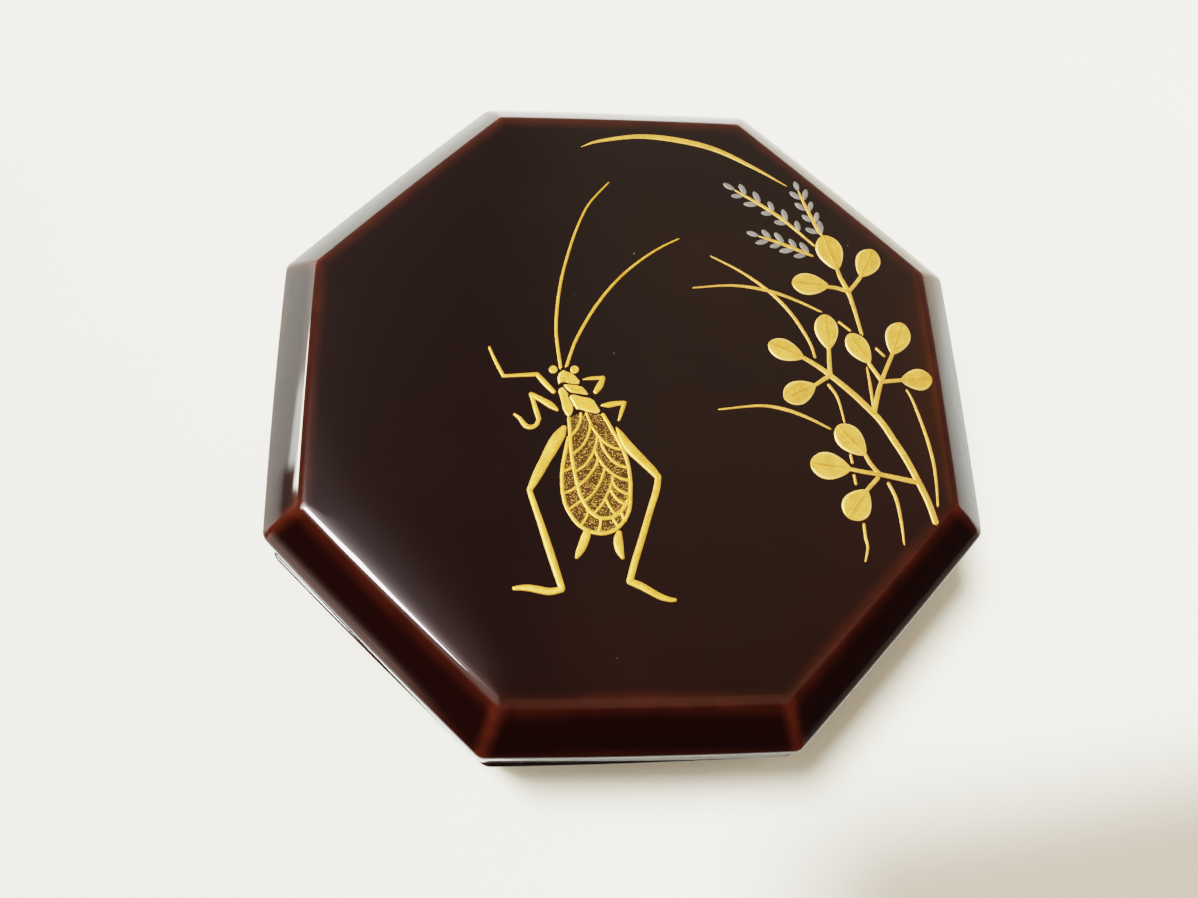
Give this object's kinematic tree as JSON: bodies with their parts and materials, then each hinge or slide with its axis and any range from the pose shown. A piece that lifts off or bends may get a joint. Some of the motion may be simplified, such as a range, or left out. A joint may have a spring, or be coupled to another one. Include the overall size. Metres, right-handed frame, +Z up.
{
  "type": "incense box",
  "caption": "Small octagonal lacquered incense box: a lift-off lid with a low crowned top and broad chamfers, over a hollow body with an inner upstand.",
  "frame": {"origin": "on the surface that the box stands on, below the middle of the box", "axes": "+Z up; the lid's flat sides face +X, -X, +Y and -Y, and the picture on the lid is upright with -Y at its foot"},
  "size_m": [0.0746, 0.0746, 0.02],
  "materials": {
    "lid_lacquer": "polished dark red-brown lacquer over wood, redder and more translucent along the edges",
    "body_lacquer": "polished dark red-brown lacquer over wood, satin inside",
    "gold_powder": "sprinkled gold powder over raised lacquer, satin and finely grained",
    "silver_powder": "sprinkled silver powder, slightly tarnished"
  },
  "bodies": {
    "root": {"box_body": "body_lacquer", "lid": "lid_lacquer"}
  },
  "joints": []
}
